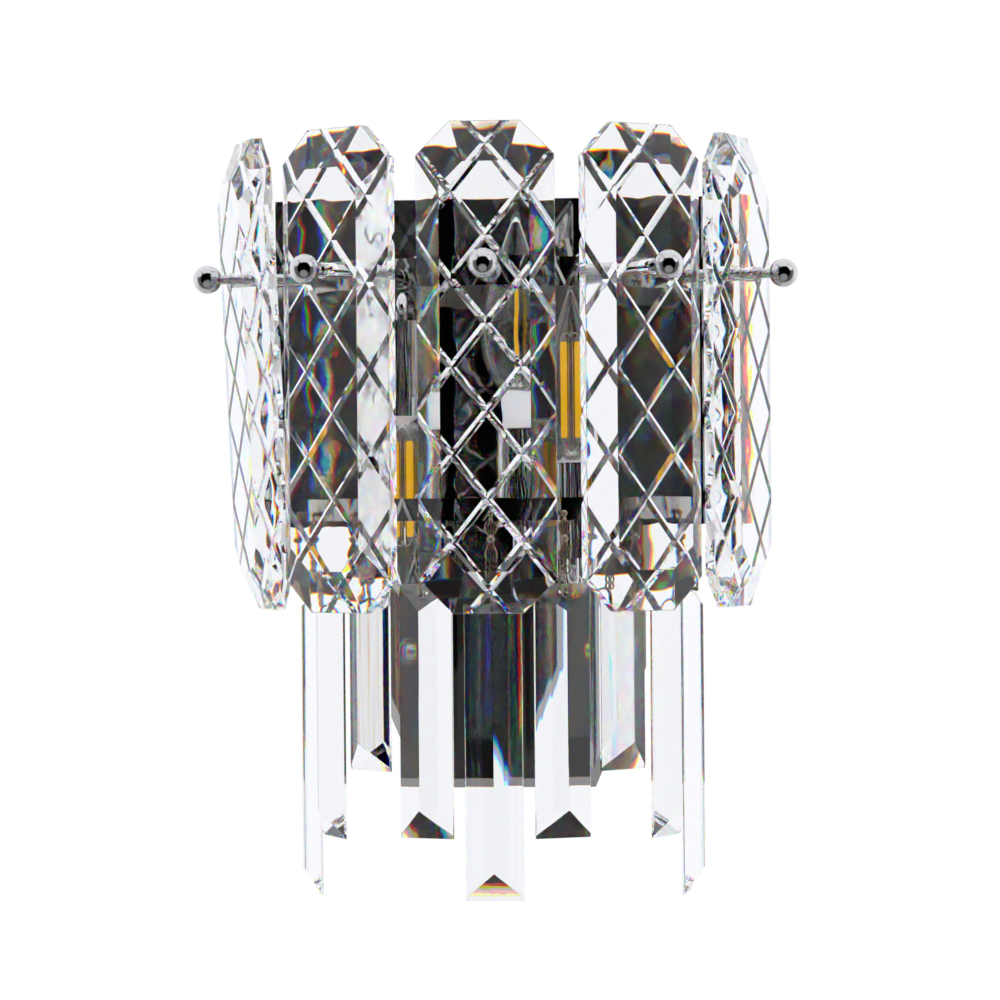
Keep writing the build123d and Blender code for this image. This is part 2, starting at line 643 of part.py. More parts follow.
def lamp_sleeve(cover):
    mouth = cover - COLLAR_LENGTH
    end = mouth - SLEEVE_LENGTH
    body = rod(SLEEVE_OUTER, SLEEVE_LENGTH, (0, 0, end), UP)
    body -= rod(SLEEVE_INNER, SLEEVE_LENGTH, (0, 0, end + SLEEVE_FLOOR), UP)
    return body - rod(ARM_RADIUS + SCREW_GAP, SLEEVE_FLOOR, (0, 0, end), UP)


def lamp_arm(x, y, foot_z, way, cover):
    """A bent tube from inside the wall plate to the foot of the lamp's socket."""
    z = arm_height(foot_z, way, cover)
    socket_end = COLLAR_LENGTH + CAP_LENGTH + TIP_LENGTH + CONTACT_DROP + SOCKET_FLOOR
    inner_end = PLATE_BACK + ARM_NUT_LENGTH + ARM_TAIL
    path = FilletPolyline(
        (x, inner_end, z), (x, y, z), (x, y, foot_z - way * socket_end), radius=ARM_BEND
    )
    ring = Plane(origin=path @ 0, z_dir=path % 0) * (
        Circle(ARM_RADIUS) - Circle(ARM_RADIUS - ARM_WALL)
    )
    return sweep(ring, path)


def arm_nuts(x, z):
    bore = ARM_RADIUS + SCREW_GAP
    inside = nut(ARM_NUT_FLATS, ARM_NUT_LENGTH, bore, (x, PLATE_BACK, z), BACKWARD)
    outside = nut(ARM_NUT_FLATS, ARM_NUT_LENGTH, bore, (x, PLATE_FRONT, z), FORWARD)
    return [inside, outside]


# Wall plate and its strap
terminal_body, terminal_screws = terminal_block()
write("mounting_strap", mounting_strap())
write("strap_studs", strap_stud(-STRAP_STUD_Z), strap_stud(STRAP_STUD_Z))
write("plate_cap_nuts", cap_nut(-STRAP_STUD_Z), cap_nut(STRAP_STUD_Z))
write("terminal_block", terminal_body)
write("terminal_screws", *terminal_screws)
write("wall_plate", wall_plate())

# Mirror plate
write("back_mirror", back_mirror())
write("mirror_spacers", *[spacer(x, z) for x, z in spacer_places()])
write("spacer_screws", *[spacer_screw(x, z) for x, z in spacer_places()])
write("spacer_nuts", *[spacer_nut(x, z) for x, z in spacer_places()])

# Bands
write("upper_band", upper_band())
write("lower_band", lower_band())
write("band_screws", *[tab_screw(x, z) for x, z in tab_screw_places()])
write("band_nuts", *[tab_nut(x, z) for x, z in tab_screw_places()])

# Crystal panels on their studs
write("panel_studs", *[around(turn, panel_stud()) for turn in PANEL_TURNS])
write("stud_nuts", *[around(turn, stud_nut()) for turn in PANEL_TURNS])
write("ball_nuts", *[around(turn, ball_nut()) for turn in PANEL_TURNS])
upright_panel = crystal_panel()
for name, turn, shift, lean in zip(PANEL_NAMES, PANEL_TURNS, PANEL_SHIFTS, PANEL_LEANS):
    write(f"panel_{name}", around(turn, hung(upright_panel, shift, lean)))

# Prisms on their clips, numbered from the left
for number, step in enumerate(PRISM_STEPS, start=1):
    turn = step * PRISM_ANGLE
    write(f"prism_{number}", around(turn, prism(PRISM_LENGTHS[abs(step)])))
    write(f"clip_{number}", around(turn, clip()))

# Lamps and what holds them
sockets, contacts, sleeves, arms, nuts = [], [], [], [], []
for name, (x, y, foot_z, way, cover) in LAMPS.items():
    place = lamp_place(x, y, foot_z, way)
    socket, contact = lamp_socket()
    sockets.append(place * socket)
    contacts.append(place * contact)
    sleeves.append(place * lamp_sleeve(cover))
    arms.append(lamp_arm(x, y, foot_z, way, cover))
    nuts += arm_nuts(x, arm_height(foot_z, way, cover))
    write(f"lamp_{name}_glass", place * lamp_glass())
    write(f"lamp_{name}_collar", place * lamp_collar())
    write(f"lamp_{name}_cap", place * lamp_cap())
    write(f"lamp_{name}_filaments", place * lamp_filaments())
write("lamp_sockets", *sockets)
write("socket_contacts", *contacts)
write("lamp_sleeves", *sleeves)
write("lamp_arms", *arms)
write("arm_nuts", *nuts)
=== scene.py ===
import json
import math

import bmesh
import bpy
from mathutils import Matrix, Vector


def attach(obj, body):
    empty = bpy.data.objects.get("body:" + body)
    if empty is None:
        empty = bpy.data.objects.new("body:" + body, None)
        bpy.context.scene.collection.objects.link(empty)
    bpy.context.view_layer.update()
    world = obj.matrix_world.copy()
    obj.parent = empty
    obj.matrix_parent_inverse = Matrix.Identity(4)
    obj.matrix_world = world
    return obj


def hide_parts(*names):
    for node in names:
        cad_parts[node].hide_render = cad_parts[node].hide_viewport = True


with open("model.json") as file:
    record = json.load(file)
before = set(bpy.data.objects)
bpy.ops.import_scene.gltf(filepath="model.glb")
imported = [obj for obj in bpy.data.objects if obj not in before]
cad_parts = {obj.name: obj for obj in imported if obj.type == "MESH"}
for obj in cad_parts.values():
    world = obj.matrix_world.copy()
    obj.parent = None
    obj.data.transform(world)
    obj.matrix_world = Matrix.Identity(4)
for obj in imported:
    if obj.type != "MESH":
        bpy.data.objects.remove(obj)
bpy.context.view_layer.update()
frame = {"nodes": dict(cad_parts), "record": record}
nodes = frame["nodes"]
slot_of = {s["node"]: s["material_slot"] for s in frame["record"]["subparts"]}

# The part's own places; lengths are in millimetres and angles in degrees, unless a name says otherwise
MM = 0.001
DRUM = Vector((0, -57, 0)) * MM
BAND_RADIUS = 88.0
PANELS = ("left_outer", "left_inner", "front", "right_inner", "right_outer")
FRONT_PANEL = 2
PANEL_ANGLE = 34.5
CLIPS = range(1, 10)
FRONT_CLIP = 5
CLIP_ANGLE = 20.6
CLIP_Z = -6.0
PIN_Z = -41.5
PIN_REAR_Y = -140.5
MIRROR_FACE_Y = -48.0
SPACER_SCREWS_X = (-38.0, 38.0)
SPACER_SCREWS_Z = (0.0, 112.0)
TAB_FACE_Y = -49.0
BAND_SCREWS_X = (-82.5, 82.5)
BAND_SCREWS_Z = (101.0, -4.0)
PLATE_FACE_Y = -22.0
CAP_NUTS_Z = (-72.0, 72.0)
# The middle of each lamp's collar rim, where its glass starts, and the lamp's way along z
LAMPS = {"left": (-45.0, -72.0, 38.0, -1), "centre": (10.0, -102.0, 49.0, 1), "right": (33.0, -70.0, 18.0, 1)}


# Camera: a little to the right of the object's middle and level with its wall screws
CAMERA_TURN = math.radians(3.0)
CAMERA_ROLL = math.radians(0.5)
CAMERA_METRES = 1.63
CAMERA_LENS = 126
CAMERA_SENSOR = 36
CAMERA_SHIFT = -0.002
TOWARDS_CAMERA = Vector((math.sin(CAMERA_TURN), -math.cos(CAMERA_TURN), 0))

camera = bpy.data.objects.new("camera", bpy.data.cameras.new("camera"))
bpy.context.scene.collection.objects.link(camera)
camera.location = DRUM + TOWARDS_CAMERA * CAMERA_METRES
camera.rotation_euler = (math.radians(90), CAMERA_ROLL, CAMERA_TURN)
camera.data.lens = CAMERA_LENS
camera.data.sensor_width = CAMERA_SENSOR
camera.data.shift_x = CAMERA_SHIFT
bpy.context.scene.camera = camera


# Node helpers
def node(tree, kind, inputs=None, **settings):
    """A new node with its settings and inputs; an input is a value or another node's socket."""
    made = tree.nodes.new(kind)
    for key, value in settings.items():
        setattr(made, key, value)
    for key, value in (inputs or {}).items():
        if isinstance(value, bpy.types.NodeSocket):
            tree.links.new(value, made.inputs[key])
        else:
            made.inputs[key].default_value = value
    return made


def new_material(name):
    made = bpy.data.materials.new(name)
    made.use_nodes = True
    made.node_tree.nodes.clear()
    return made, made.node_tree


def surface(tree, shader):
    node(tree, "ShaderNodeOutputMaterial", {"Surface": shader})


def noise(tree, scale, detail=2.0, stretch=(1, 1, 1)):
    """The value of a noise that is fixed to the piece; its values keep mostly between 0.3 and 0.7."""
    place = node(tree, "ShaderNodeTexCoord")
    mapping = node(tree, "ShaderNodeMapping", {"Vector": place.outputs["Object"], "Scale": stretch})
    made = node(
        tree, "ShaderNodeTexNoise",
        {"Vector": mapping.outputs["Vector"], "Scale": scale, "Detail": detail},
    )
    return made.outputs["Fac"]


def spread(tree, value, low, high):
    """A noise's value, spread over the range from low to high."""
    mapped = node(
        tree, "ShaderNodeMapRange",
        {"Value": value, "From Min": 0.3, "From Max": 0.7, "To Min": low, "To Max": high},
    )
    return mapped.outputs["Result"]


def bumped(tree, height, metres):
    raised = node(tree, "ShaderNodeBump", {"Height": height, "Strength": 1.0, "Distance": metres})
    return raised.outputs["Normal"]


def mixed_colours(tree, factor, first, second):
    mix = node(tree, "ShaderNodeMix", {"Factor": factor, 6: first, 7: second}, data_type="RGBA")
    return mix.outputs[2]


# Materials
def opaque(name, colour, metallic, roughness, scale, bump=None, specular=0.5):
    """A plated, moulded or coated finish; bump is the depth in metres and the scale of a fine unevenness."""
    made, tree = new_material(name)
    shader = node(
        tree, "ShaderNodeBsdfPrincipled",
        {"Base Color": (*colour, 1), "Metallic": metallic, "Specular IOR Level": specular,
         "Roughness": spread(tree, noise(tree, scale, 3.0), *roughness)},
    )
    if bump:
        metres, bump_scale = bump
        tree.links.new(bumped(tree, noise(tree, bump_scale), metres), shader.inputs["Normal"])
    surface(tree, shader.outputs["BSDF"])
    return made


def cut_crystal(name, colour, ior, spread_by, wave_metres, scale, stretch=(1, 1, 1)):
    """Lead crystal: its faces are not quite flat, and each colour bends a little differently on its way in."""
    made, tree = new_material(name)
    normal = bumped(tree, noise(tree, scale, 1.0, stretch), wave_metres)
    inwards = None
    for tone, bend in (((1, 0, 0), -spread_by), ((0, 1, 0), 0.0), ((0, 0, 1), spread_by)):
        tone = (*[a * b for a, b in zip(tone, colour)], 1)
        ray = node(
            tree, "ShaderNodeBsdfRefraction",
            {"Color": tone, "Roughness": 0.0, "IOR": ior + bend, "Normal": normal},
        ).outputs["BSDF"]
        if inwards is None:
            inwards = ray
        else:
            inwards = node(tree, "ShaderNodeAddShader", {0: inwards, 1: ray}).outputs["Shader"]
    outwards = node(
        tree, "ShaderNodeBsdfRefraction",
        {"Color": (*colour, 1), "Roughness": 0.0, "IOR": ior, "Normal": normal},
    )
    where = node(tree, "ShaderNodeNewGeometry")
    through = node(
        tree, "ShaderNodeMixShader",
        {0: where.outputs["Backfacing"], 1: inwards, 2: outwards.outputs["BSDF"]},
    )
    gloss = node(tree, "ShaderNodeBsdfGlossy", {"Color": (1, 1, 1, 1), "Roughness": 0.0, "Normal": normal})
    fresnel = node(tree, "ShaderNodeFresnel", {"IOR": ior, "Normal": normal})
    both = node(
        tree, "ShaderNodeMixShader",
        {0: fresnel.outputs["Fac"], 1: through.outputs["Shader"], 2: gloss.outputs["BSDF"]},
    )
    surface(tree, both.outputs["Shader"])
    return made


def clear(name, colour, ior):
    """Thin clear glass."""
    made, tree = new_material(name)
    shader = node(
        tree, "ShaderNodeBsdfPrincipled",
        {"Base Color": (*colour, 1), "Transmission Weight": 1.0, "IOR": ior, "Roughness": 0.0},
    )
    surface(tree, shader.outputs["BSDF"])
    return made


def polished_sheet(name, colour, back_colour):
    """Sheet steel: mirror polished on the room side, brushed and stained on the side that faces the wall."""
    made, tree = new_material(name)
    where = node(tree, "ShaderNodeNewGeometry")
    parts = node(tree, "ShaderNodeSeparateXYZ", {"Vector": where.outputs["True Normal"]})
    back = node(
        tree, "ShaderNodeMapRange", {"Value": parts.outputs["Y"], "From Min": 0.5, "From Max": 0.8}
    ).outputs["Result"]
    polished = spread(tree, noise(tree, 25, 3.0), 0.01, 0.03)
    grain = noise(tree, 90, 6.0, (14, 1, 0.6))
    brushed = spread(tree, grain, 0.25, 0.5)
    roughness = node(tree, "ShaderNodeMix", {"Factor": back, 2: polished, 3: brushed}, data_type="FLOAT")
    stain_colour = [c * 0.72 for c in back_colour]
    stains = spread(tree, noise(tree, 18, 5.0), 0.0, 1.0)
    stained = mixed_colours(tree, stains, (*back_colour, 1), (*stain_colour, 1))
    tone = mixed_colours(tree, back, (*colour, 1), stained)
    back_grain = node(tree, "ShaderNodeMath", {0: grain, 1: back}, operation="MULTIPLY")
    shader = node(
        tree, "ShaderNodeBsdfPrincipled",
        {"Base Color": tone, "Metallic": 1.0, "Roughness": roughness.outputs[0],
         "Normal": bumped(tree, back_grain.outputs["Value"], 0.00004)},
    )
    surface(tree, shader.outputs["BSDF"])
    return made


CRYSTAL = (0.99, 0.99, 0.995)
CRYSTAL_IOR = 1.53
materials = {
    "chrome": opaque("chrome", (0.74, 0.74, 0.75), 1.0, (0.02, 0.06), 60),
    "mirror_steel": polished_sheet("mirror_steel", (0.42, 0.41, 0.4), (0.6, 0.6, 0.6)),
    "dark_chrome": opaque("dark_chrome", (0.5, 0.43, 0.34), 1.0, (0.06, 0.16), 300),
    "zinc_steel": opaque("zinc_steel", (0.62, 0.63, 0.64), 1.0, (0.28, 0.42), 120, (0.00003, 900)),
    "brass": opaque("brass", (0.75, 0.6, 0.32), 1.0, (0.15, 0.3), 200),
    "crystal": cut_crystal("crystal", CRYSTAL, CRYSTAL_IOR, 0.016, 0.0002, 70),
    "crystal_bar": cut_crystal("crystal_bar", CRYSTAL, CRYSTAL_IOR, 0.022, 0.00006, 220, (1, 1, 0.04)),
    "lamp_glass": clear("lamp_glass", (0.98, 0.985, 0.985), 1.47),
    "filament_yellow": opaque(
        "filament_yellow", (1.0, 0.54, 0.01), 0.0, (0.45, 0.65), 500, (0.00003, 1500), specular=0.2
    ),
    "white_plastic": opaque("white_plastic", (0.88, 0.88, 0.87), 0.0, (0.3, 0.45), 150, (0.00002, 800)),
    "ceramic_white": opaque("ceramic_white", (0.86, 0.86, 0.84), 0.0, (0.5, 0.7), 200, (0.00004, 1200)),
}
for name, piece in nodes.items():
    piece.data.materials.clear()
    piece.data.materials.append(materials["mirror_steel" if name == "wall_plate" else slot_of[name]])


# Pieces
SHARP_ANGLE = 35.0
AXIS_RADIUS = 0.001  # in place of a radius of zero, so that the points stay apart until the mesh is finished


def add_piece(name, mesh, slot, body, replaced=(), turn=0.0, smooth=True, finish=None):
    """A piece drawn in millimetres at the drum's front, turned about the drum's axis."""
    mesh.transform(Matrix.Scale(MM, 4))
    if turn:
        there = Matrix.Translation(DRUM) @ Matrix.Rotation(math.radians(turn), 4, "Z")
        mesh.transform(there @ Matrix.Translation(-DRUM))
    mesh.materials.clear()
    mesh.materials.append(materials[finish or slot])
    for face in mesh.polygons:
        face.use_smooth = smooth
    if smooth:
        mesh.set_sharp_from_angle(angle=math.radians(SHARP_ANGLE))
    made = bpy.data.objects.new(name, mesh)
    bpy.context.scene.collection.objects.link(made)
    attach(made, body)
    if replaced:
        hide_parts(*replaced)
    return made


def turns(count):
    """The angles that part a full turn into equal steps."""
    return [2 * math.pi * step / count for step in range(count)]


def square_to(axis):
    """A unit vector along an axis, and two that are square to it and to each other."""
    along = Vector(axis).normalized()
    across = along.orthogonal().normalized()
    return along, across, along.cross(across)


def loft(bm, rings, closed=True):
    """Join rings that have as many points each, and close both ends."""
    rows = [[bm.verts.new(point) for point in ring] for ring in rings]
    count = len(rings[0])
    for near, far in zip(rows, rows[1:]):
        for here in range(count):
            after = (here + 1) % count
            bm.faces.new((near[here], near[after], far[after], far[here]))
    if closed:
        bm.faces.new(rows[0][::-1])
        bm.faces.new(rows[-1])


def lathe(bm, profile, centre, axis, segments=32):
    """Turn a profile of (distance along the axis, radius) about an axis."""
    axis, across, other = square_to(axis)
    rings = []
    for distance, radius in profile:
        middle = Vector(centre) + axis * distance
        radius = max(radius, AXIS_RADIUS)
        rings.append(
            [middle + (across * math.cos(angle) + other * math.sin(angle)) * radius for angle in turns(segments)]
        )
    loft(bm, rings)


def ball(bm, centre, radius, bands=14):
    angles = [math.pi * step / bands for step in range(bands + 1)]
    profile = [(-math.cos(angle) * radius, math.sin(angle) * radius) for angle in angles]
    lathe(bm, profile, centre, (0, 0, 1))


def wire(bm, points, radius, segments=10, loop=False):
    """A round wire through points, its section carried along without twist."""
    points = [Vector(point) for point in points]
    count = len(points)
    rings, across = [], None
    for here in range(count):
        before = points[here - 1] if here or loop else points[0]
        after = points[(here + 1) % count] if here < count - 1 or loop else points[-1]
        along = (after - before).normalized()
        if across is None:
            across = along.orthogonal().normalized()
        across = (across - along * across.dot(along)).normalized()
        other = along.cross(across)
        rings.append(
            [points[here] + (across * math.cos(angle) + other * math.sin(angle)) * radius
             for angle in turns(segments)]
        )
    if loop:
        rings.append(rings[0])
    loft(bm, rings, not loop)


def threaded(bm, start, axis, length, radius, depth, pitch, segments=36):
    """A round bar whose thread runs along it as a helix, with a plain start and end."""
    axis, across, other = square_to(axis)
    steps = max(int(length / pitch * 10), 8)
    rings = []
    for row in range(steps + 1):
        t = row / steps
        fade = min(1.0, 8 * t, 8 * (1 - t))
        ring = []
        for angle in turns(segments):
            cut = 0.5 + 0.5 * math.cos(2 * math.pi * t * length / pitch - angle)
            size = radius - depth * cut * fade
            middle = Vector(start) + axis * (t * length)
            ring.append(middle + (across * math.cos(angle) + other * math.sin(angle)) * size)
        rings.append(ring)
    loft(bm, rings)


def smooth_path(points, steps=8):
    """Points on a Catmull-Rom curve through the given points."""
    points = [Vector(point) for point in points]
    path = []
    for here in range(len(points) - 1):
        before, start = points[max(here - 1, 0)], points[here]
        end, after = points[here + 1], points[min(here + 2, len(points) - 1)]
        for step in range(steps):
            t = step / steps
            path.append(
                0.5 * (2 * start + (end - before) * t + (2 * before - 5 * start + 4 * end - after) * t ** 2
                       + (3 * start - before - 3 * end + after) * t ** 3)
            )
    return path + [points[-1]]


def finished(bm):
    """A mesh of its own with no doubled points, its faces turned outwards."""
    bmesh.ops.remove_doubles(bm, verts=bm.verts, dist=0.0005)
    bmesh.ops.recalc_face_normals(bm, faces=bm.faces)
    mesh = bpy.data.meshes.new("piece")
    bm.to_mesh(mesh)
    bm.free()
    return mesh


# Crystals: the part's own facets, with their long edges rounded as polishing leaves them
POLISHED_EDGE = 0.22
SAME_POINT = 0.002
FLAT_ANGLE = 0.6
SHARPEST_LEFT = 12.0  # edges that turn by less than this stay as they are
SHORTEST_EDGE = 3.0
PANEL_BACK_ZONE = 3.0  # edges nearer than this to a panel's flat back stay sharp
LEANING_BACK_ZONE = 8.5  # the same for the left outer panel, whose lean moves its back out of square


def polished_crystal(name):
    bm = bmesh.new()
    bm.from_mesh(nodes[name].data)
    bmesh.ops.remove_doubles(bm, verts=bm.verts, dist=SAME_POINT * MM)
    bmesh.ops.dissolve_limit(bm, angle_limit=math.radians(FLAT_ANGLE), verts=bm.verts, edges=bm.edges)
    panel = name.startswith("panel")
    number = PANELS.index(name[6:]) if panel else FRONT_PANEL
    turn = math.radians(PANEL_ANGLE * (number - FRONT_PANEL))
    outward = Vector((math.sin(turn), -math.cos(turn), 0))
    back = min((v.co - DRUM).dot(outward) for v in bm.verts)
    back_zone = (LEANING_BACK_ZONE if number == 0 else PANEL_BACK_ZONE) * MM
    sharp = []
    for edge in bm.edges:
        if len(edge.link_faces) != 2 or edge.calc_length() < SHORTEST_EDGE * MM:
            continue
        if math.degrees(edge.calc_face_angle(0)) < SHARPEST_LEFT:
            continue
        if panel and min((v.co - DRUM).dot(outward) - back for v in edge.verts) < back_zone:
            continue
        sharp.append(edge)
    bmesh.ops.bevel(
        bm, geom=sharp, offset=POLISHED_EDGE * MM, segments=2, profile=0.5, affect="EDGES", clamp_overlap=True
    )
    mesh = bpy.data.meshes.new(name + "_polished")
    bm.to_mesh(mesh)
    bm.free()
    mesh.transform(Matrix.Scale(1 / MM, 4))
    finish = None if panel else "crystal_bar"
    add_piece(name + "_polished", mesh, "crystal", name, (name,), smooth=False, finish=finish)


for name in list(nodes):
    if name.startswith(("panel_", "prism_")) and name != "panel_studs":
        polished_crystal(name)


# Clips: two fluted fans with a heart at the waist, loops, and a wire stirrup that holds the pin
FLUTES = 5
FLUTE_ROUNDING = 0.8
FAN_HALF_THICKNESS = 0.22
FLUTE_HEIGHT = 0.75
FLUTE_FALL = 0.4  # the share by which the outermost flutes are lower
FAN_ROWS = 20
FAN_COLUMNS = 80
CLIP_AXIS_OUT = 2.5  # how far in front of the band the fans hang


def fluted_fan(bm, front, top, bottom, widths):
    """A fan of round flutes whose half width follows the list from its top to its bottom."""
    sides = ([], [])
    for row in range(FAN_ROWS + 1):
        t = row / FAN_ROWS
        spot = t * (len(widths) - 1)
        index = min(int(spot), len(widths) - 2)
        half = widths[index] + (widths[index + 1] - widths[index]) * (spot - index)
        for side, way in zip(sides, (-1, 1)):
            points = []
            for column in range(FAN_COLUMNS + 1):
                u = 2 * column / FAN_COLUMNS - 1
                wave = abs(math.cos(math.pi * FLUTES * u / 2)) ** FLUTE_ROUNDING
                flute = FLUTE_HEIGHT * wave * (half / max(widths)) * (1 - FLUTE_FALL * u * u)
                thick = FAN_HALF_THICKNESS + flute
                points.append(bm.verts.new((u * half, front + way * thick, top + (bottom - top) * t)))
            side.append(points)
    front_side, back_side = sides
    for side in sides:
        for near, far in zip(side, side[1:]):
            for here in range(FAN_COLUMNS):
                bm.faces.new((near[here], near[here + 1], far[here + 1], far[here]))
    for row in range(FAN_ROWS):
        for column in (0, FAN_COLUMNS):
            bm.faces.new((front_side[row][column], front_side[row + 1][column],
                          back_side[row + 1][column], back_side[row][column]))
    for row in (0, FAN_ROWS):
        for here in range(FAN_COLUMNS):
            bm.faces.new((front_side[row][here], front_side[row][here + 1],
                          back_side[row][here + 1], back_side[row][here]))


def heart(bm, front, middle, size):
    """A domed heart that stands on the front of the waist."""
    outline = []
    for t in turns(40):
        x = 16 * math.sin(t) ** 3
        z = 13 * math.cos(t) - 5 * math.cos(2 * t) - 2 * math.cos(3 * t) - math.cos(4 * t)
        outline.append((x / 32 * size, z / 32 * size))
    rings = []
    for height, scale in ((1.5, 1.0), (0.0, 1.0), (-0.35, 0.9), (-0.6, 0.68), (-0.72, 0.35), (-0.75, 0.02)):
        rings.append([(x * scale, front + height, middle + z * scale) for x, z in outline])
    loft(bm, rings)


def clip_mesh():
    front = DRUM.y / MM - BAND_RADIUS - CLIP_AXIS_OUT
    rear = PIN_REAR_Y
    down = (0, 0, -1)
    inwards = (0, 1, 0)
    bm = bmesh.new()
    ball(bm, (0, front, CLIP_Z), 1.5)
    rivet = [(0, 0.7), (4.6, 0.7), (4.7, 1.0), (4.9, 1.8), (5.5, 1.8), (5.75, 1.5)]
    lathe(bm, rivet, (0, front, CLIP_Z), inwards)
    neck = [(0.9, 0.75), (1.6, 0.6), (2.4, 0.95), (3.0, 1.1), (3.4, 0.9)]
    lathe(bm, neck, (0, front, CLIP_Z), down)
    fluted_fan(bm, front, -9.0, -15.6, (1.5, 2.5, 2.8, 2.8, 2.6, 2.1, 1.2))
    fluted_fan(bm, front, -18.8, -25.8, (1.0, 1.5, 2.0, 2.5, 2.9, 2.9, 2.4))
    waist = [(0, 1.0), (0.5, 1.3), (1.1, 1.9), (1.7, 2.0), (2.3, 1.7), (3.0, 1.2), (3.5, 0.9)]
    lathe(bm, waist, (0, front, -15.4), down, 24)
    heart(bm, front - 1.5, -17.2, 2.8)
    for side in (-1, 1):
        for middle, high in ((-27.7, 1.7), (-31.0, 1.5)):
            loop = [
                (side * 1.35 + 1.05 * math.cos(angle), front, middle + high * math.sin(angle))
                for angle in turns(28)
            ]
            wire(bm, loop, 0.4, loop=True)
    stirrup = [
        (0, front - 0.6, PIN_Z), (0, front - 0.75, PIN_Z + 3), (0, front - 0.4, -34.5), (0, front + 1.2, -32.0),
        (0, front + 3.4, -31.4), (0, rear - 1.2, -32.3), (0, rear + 0.1, -35.5), (0, rear + 0.2, PIN_Z),
    ]
    wire(bm, smooth_path(stirrup), 0.5)
    span = rear - front
    pin = [
        (-0.9, 0.5), (-0.75, 1.1), (0, 1.3), (0.6, 1.2), (0.8, 0.85), (span + 0.4, 0.85), (span + 0.6, 1.2),
        (span + 1.2, 1.1), (span + 1.3, 0.6),
    ]
    lathe(bm, pin, (0, front - 0.4, PIN_Z), inwards, 24)
    return finished(bm)


for number in CLIPS:
    add_piece(f"clip_{number}_fluted", clip_mesh(), "dark_chrome", f"clip_{number}", (f"clip_{number}",),
              turn=CLIP_ANGLE * (number - FRONT_CLIP))


# Lamps: coated filament strips with metal ends, on wires from a clear glass stem. They're drawn upright from
# the collar's rim at the origin, and place_lamp() puts them in their place.
STRIP_FOOT, STRIP_TOP = 10.5, 54.5
FOOT_END = (8.6, 10.7)
TOP_END = (54.3, 56.6)
STRIP_HALF_DEPTH = 0.8
END_HALF_WIDTH, END_HALF_DEPTH = 1.1, 0.35
STRIPS_Y = (-3.0, 3.0)
# Where the strips stand in x, and half their width; the centre lamp has one narrow strip on each side
NARROW_STRIPS = ((0.0,), 0.8)
WIDE_STRIPS = ((-3.25, 3.25), 1.45)
FILAMENT_WIRE = 0.22
CROWN = (0, 0, 57.4)


def strip(bm, x, y, low, high, half_width, half_depth):
    """A flat strip with rounded long edges that faces away from the stem."""
    out = Vector((0, math.copysign(1, y), 0))
    side = Vector((1, 0, 0))
    section = []
    for angle in turns(20):
        c, s = math.cos(angle), math.sin(angle)
        section.append(side * half_width * math.copysign(abs(c) ** 0.5, c)
                       + out * half_depth * math.copysign(abs(s) ** 0.7, s))
    rings = []
    for z, scale in ((low, 0.75), (low + 0.4, 1), (high - 0.4, 1), (high, 0.75)):
        rings.append([Vector((x, y, z)) + point * scale for point in section])
    loft(bm, rings)


def place_lamp(mesh, name):
    x, y, z, way = LAMPS[name]
    if way < 0:
        mesh.transform(Matrix.Rotation(math.pi, 4, "X"))
    mesh.transform(Matrix.Translation((x, y, z)))
    return mesh


for name in LAMPS:
    coated, metal, stem = bmesh.new(), bmesh.new(), bmesh.new()
    columns, half_width = NARROW_STRIPS if name == "centre" else WIDE_STRIPS
    for x in columns:
        for y in STRIPS_Y:
            strip(coated, x, y, STRIP_FOOT, STRIP_TOP, half_width, STRIP_HALF_DEPTH)
            for low, high in (FOOT_END, TOP_END):
                strip(metal, x, y, low, high, END_HALF_WIDTH, END_HALF_DEPTH)
            from_stem = [(x, y, 9.0), (x * 0.9, y * 0.8, 6.4), (x * 0.35, y * 0.3, 3.2), (x * 0.2, y * 0.2, 1.0)]
            to_crown = [(x, y, 56.2), (x * 0.9, y * 0.85, 58.0), (x * 0.4, y * 0.4, 58.6), CROWN]
            wire(metal, smooth_path(from_stem), FILAMENT_WIRE)
            wire(metal, smooth_path(to_crown), FILAMENT_WIRE)
    ball(metal, CROWN, 0.55)
    blown = [
        (0, 6.0), (0.5, 5.9), (1.6, 4.0), (3.2, 2.4), (6.0, 1.7), (9.0, 1.2), (54.0, 1.05), (56.5, 1.0),
        (57.8, 1.3), (58.6, 0.9), (58.8, 0.3),
    ]
    lathe(stem, blown, (0, 0, 0), (0, 0, 1))
    body = f"lamp_{name}"
    replaced = (f"{body}_filaments",)
    add_piece(f"{body}_strips", place_lamp(finished(coated), name), "filament_yellow", body, replaced)
    add_piece(f"{body}_wires", place_lamp(finished(metal), name), "zinc_steel", body)
    add_piece(f"{body}_stem", place_lamp(finished(stem), name), "lamp_glass", body)


# Screws, cap nuts and lamp caps, in place of the part's plain ones
SCREW_THREAD_DEPTH, SCREW_PITCH = 0.25, 0.8
CAP_TOP_Z = -17.0


def cross_head_screw(bm, x, y, z, head_radius, head_length, shank_radius, shank_length):
    """A screw that faces the room, with a cross cut in its domed head."""
    # Each ring's height and radius, as shares of the head's; the last two are in the cross
    rim = ((0, 1.0), (0.35, 1.0), (0.7, 0.9), (0.92, 0.68), (1.0, 0.45))
    recess = ((1.0, 0.44), (0.45, 0.36), (0.4, 0.01))
    rings = []
    for in_cross, profile in ((False, rim), (True, recess)):
        for along, scale in profile:
            ring = []
            for angle in turns(64):
                lobes = 0.3 + 0.7 * abs(math.cos(2 * angle)) ** 5 if in_cross else 1.0
                size = head_radius * scale * lobes
                ring.append((x + size * math.cos(angle), y - head_length * along, z + size * math.sin(angle)))
            rings.append(ring)
    loft(bm, rings)
    threaded(bm, (x, y - 0.1, z), (0, 1, 0), shank_length + 0.1, shank_radius,
             SCREW_THREAD_DEPTH, SCREW_PITCH, 24)


